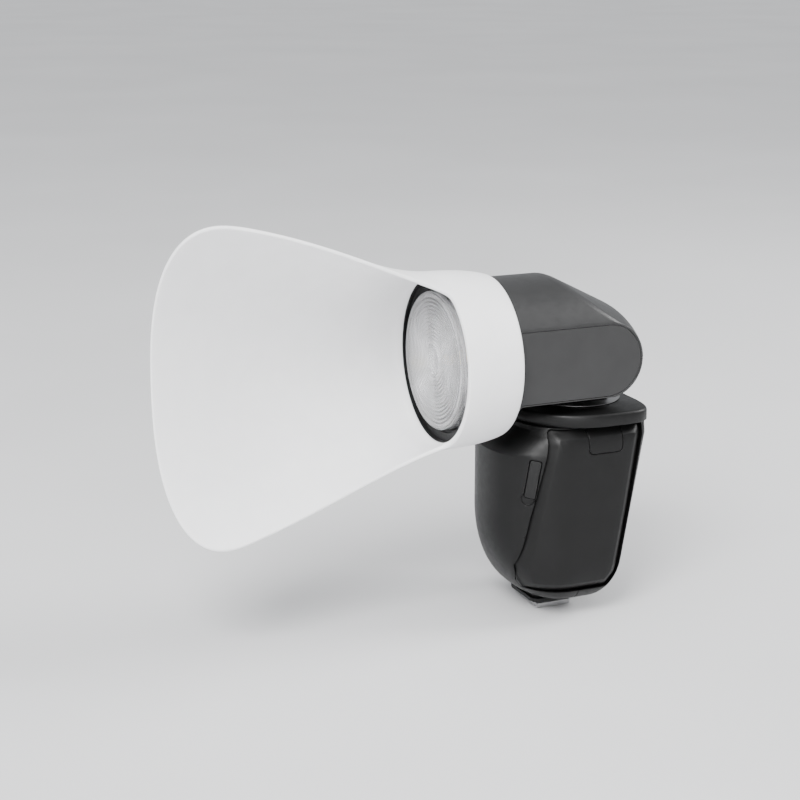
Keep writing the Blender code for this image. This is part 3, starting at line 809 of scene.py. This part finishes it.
def rear_panel(look):
    outline = rounded(PANEL_SIZE[0] / 2, PANEL_SIZE[1] / 2, 3.7)
    panel = prism("panel", outline, -2.4, 0.2, look["panel"], PANEL)
    opening = rounded(DISPLAY_HALF[0] + 0.2, DISPLAY_HALF[1] + 0.2, 1.4, DISPLAY)
    holes = [prism("hole", opening, -6, 3, None, PANEL)]
    holes.append(disc("hole", DIAL_R + GAP, -6, 3, None, PANEL @ at(*DIAL, 0), 96))
    for place in BUTTONS.values():
        holes.append(disc("hole", BUTTON_R + GAP, -6, 3, None, PANEL @ at(*place, 0)))
    cut(panel, *holes)
    discard(*holes)
    soften(panel, 0.25)
    stands_for(panel, "body", "panel_plastic", "rear_panel")
    pane = rounded(*DISPLAY_HALF, 1.2, DISPLAY)
    window = prism("display_pane", pane, -1.2, 0.4, look["display"], PANEL)
    soften(window, 0.2)
    stands_for(window, "body", "display_glass", "display_window")
    dial = PANEL @ at(*DIAL, 0)
    rings = []
    for i in range(240):
        angle = 2 * pi * i / 240
        rim = DIAL_R - (0.0, 0.22, 0.3, 0.22)[i % 4]
        profile = [(4.6, -2.6), (rim, -2.6), (rim, 0.9), (rim - 0.7, 1.6)]
        profile += [(9.0, 1.8), (7.6, 1.3), (5.2, 1.3), (4.6, 0.9)]
        rings.append(spun(profile, angle))
    wheel = loft("dial_wheel", rings, look["button"], dial, closed=True)
    stands_for(wheel, "control_dial", "button_plastic", "control_dial")
    cap = [(0, -2.6), (4.2, -2.6), (4.2, 0.8), (4.05, 1.15), (3.7, 1.3), (2.2, 1.12), (0, 1.05)]
    made = turned("set_cap", cap, look["button"], dial, 64)
    stands_for(made, "set_button", "button_plastic", "set_button")
    for name, place in BUTTONS.items():
        cap = [(0, BUTTON_DEPTH), (BUTTON_R, BUTTON_DEPTH), (BUTTON_R, 0.5), (BUTTON_R - 0.15, 0.85)]
        cap += [(2.4, 1.0), (1.2, 0.9), (0, 0.87)]
        made = turned(f"{name}_cap", cap, look["button"], PANEL @ at(*place, 0), 56)
        stands_for(made, name, "button_plastic", name)
    icons(look)


def icons(look):
    """Plain printed marks on the buttons: bars, a square, a bolt's zigzag and a broken ring."""
    def mark(name, outline, place, body):
        made = prism(name, outline, 0.84, 0.98, look["mark"], PANEL @ at(*place, 0))
        stands_for(made, body, "button_plastic")
    for row in (-0.7, 0, 0.7):
        mark(f"menu_bar_{row}", rounded(1.0, 0.14, 0.1, (0, row)), BUTTONS["menu_button"], "menu_button")
    mark("mode_square", rounded(0.8, 0.8, 0.2), BUTTONS["mode_button"], "mode_button")
    bolt = [(0.3, 1.3), (-0.8, -0.2), (-0.1, -0.2), (-0.3, -1.3), (0.8, 0.2), (0.1, 0.2)]
    mark("test_bolt", bolt, BUTTONS["test_button"], "test_button")
    arc = [(1.1 * cos(a), 1.1 * sin(a)) for a in [pi * (0.62 + 1.76 * i / 24) for i in range(25)]]
    arc += [(0.8 * cos(a), 0.8 * sin(a)) for a in [pi * (2.38 - 1.76 * i / 24) for i in range(25)]]
    mark("power_arc", arc, BUTTONS["power_button"], "power_button")
    mark("power_bar", rounded(0.15, 0.6, 0.1, (0, 0.8)), BUTTONS["power_button"], "power_button")


# ---- CAD nodes whose shape is kept ----

KEPT = {
    "board": ("main_board", "control_board"),
    "sleeve": ("capacitor",),
    "gold": (
        *(f"contact_{i}" for i in range(1, 6)),
        *(f"battery_terminal_{i}" for i in range(1, 4)),
    ),
    "steel": ("guide_rod_left", "guide_rod_right", "tilt_axle", "swivel_retaining_ring", "locking_pin"),
    "black": ("barrel_tube", "head_frame", "zoom_carriage", "display_module", "foot_block", "lock_lever"),
    "foot": ("foot_plate",),
    "phosphor": ("modelling_light",),
}


def kept_nodes(look):
    for shade, nodes in KEPT.items():
        for node in nodes:
            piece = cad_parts[node]
            piece.data.materials.clear()
            piece.data.materials.append(look[shade])


# ---- Floor, lights and camera ----


def stage():
    floor = bpy.data.meshes.new("floor")
    corners = [(u * FLOOR_REACH, v * FLOOR_REACH, 0) for u, v in ((-1, -1), (1, -1), (1, 1), (-1, 1))]
    floor.from_pydata(corners, [], [(0, 1, 2, 3)])
    obj = bpy.data.objects.new("floor", floor)
    obj.location.z = FLOOR_Z
    bpy.context.scene.collection.objects.link(obj)
    paper = surface("floor_paper", grey(0.62), grey(0.66), (0.75, 0.85), 0.002, 0.00005, mottle=3.0)
    floor.materials.append(paper)


def soft_light(name, place, size, power):
    data = bpy.data.lights.new(name, "AREA")
    data.shape = "DISK"
    data.size = size
    data.energy = power
    obj = bpy.data.objects.new(name, data)
    obj.location = place
    obj.rotation_euler = (Vector(LIGHT_AIM) - Vector(place)).to_track_quat("-Z", "Y").to_euler()
    bpy.context.scene.collection.objects.link(obj)


def sky_light(lean, heading, spread, strength):
    """Even light from a wide patch of sky, which leaves soft shadows."""
    data = bpy.data.lights.new("sky", "SUN")
    data.energy = strength
    data.angle = radians(spread)
    obj = bpy.data.objects.new("sky", data)
    obj.rotation_euler = (radians(lean), 0, radians(heading))
    bpy.context.scene.collection.objects.link(obj)


def surroundings(colour, strength):
    world = bpy.data.worlds.new("studio")
    world.use_nodes = True
    background = world.node_tree.nodes["Background"]
    background.inputs["Color"].default_value = colour
    background.inputs["Strength"].default_value = strength
    bpy.context.scene.world = world


def lights():
    soft_light("key", (0.9, -0.9, 1.25), 0.8, 40)
    soft_light("fill", (1.7, -0.7, 0.5), 1.0, 14)
    soft_light("rim", (0.2, 1.2, 0.9), 0.7, 22)
    sky_light(lean=28, heading=50, spread=70, strength=1.7)
    surroundings(SKY_COLOUR, 0.7)


def camera():
    data = bpy.data.cameras.new("camera")
    data.sensor_width = 36.0
    data.lens = VIEW_LENS
    obj = bpy.data.objects.new("camera", data)
    obj.location = VIEW_PLACE
    obj.rotation_euler = (pi / 2 - VIEW_ELEVATION, 0, VIEW_AZIMUTH)
    bpy.context.scene.collection.objects.link(obj)
    bpy.context.scene.camera = obj


def main():
    camera()
    look = materials()
    snoot(look)
    head_covers(look)
    lens_front(look)
    zoom_grip(look)
    head_front(look)
    neck(look)
    body_shells(look)
    battery(look)
    port_cover(look)
    top_plate(look)
    rear_panel(look)
    kept_nodes(look)
    stage()
    lights()


main()
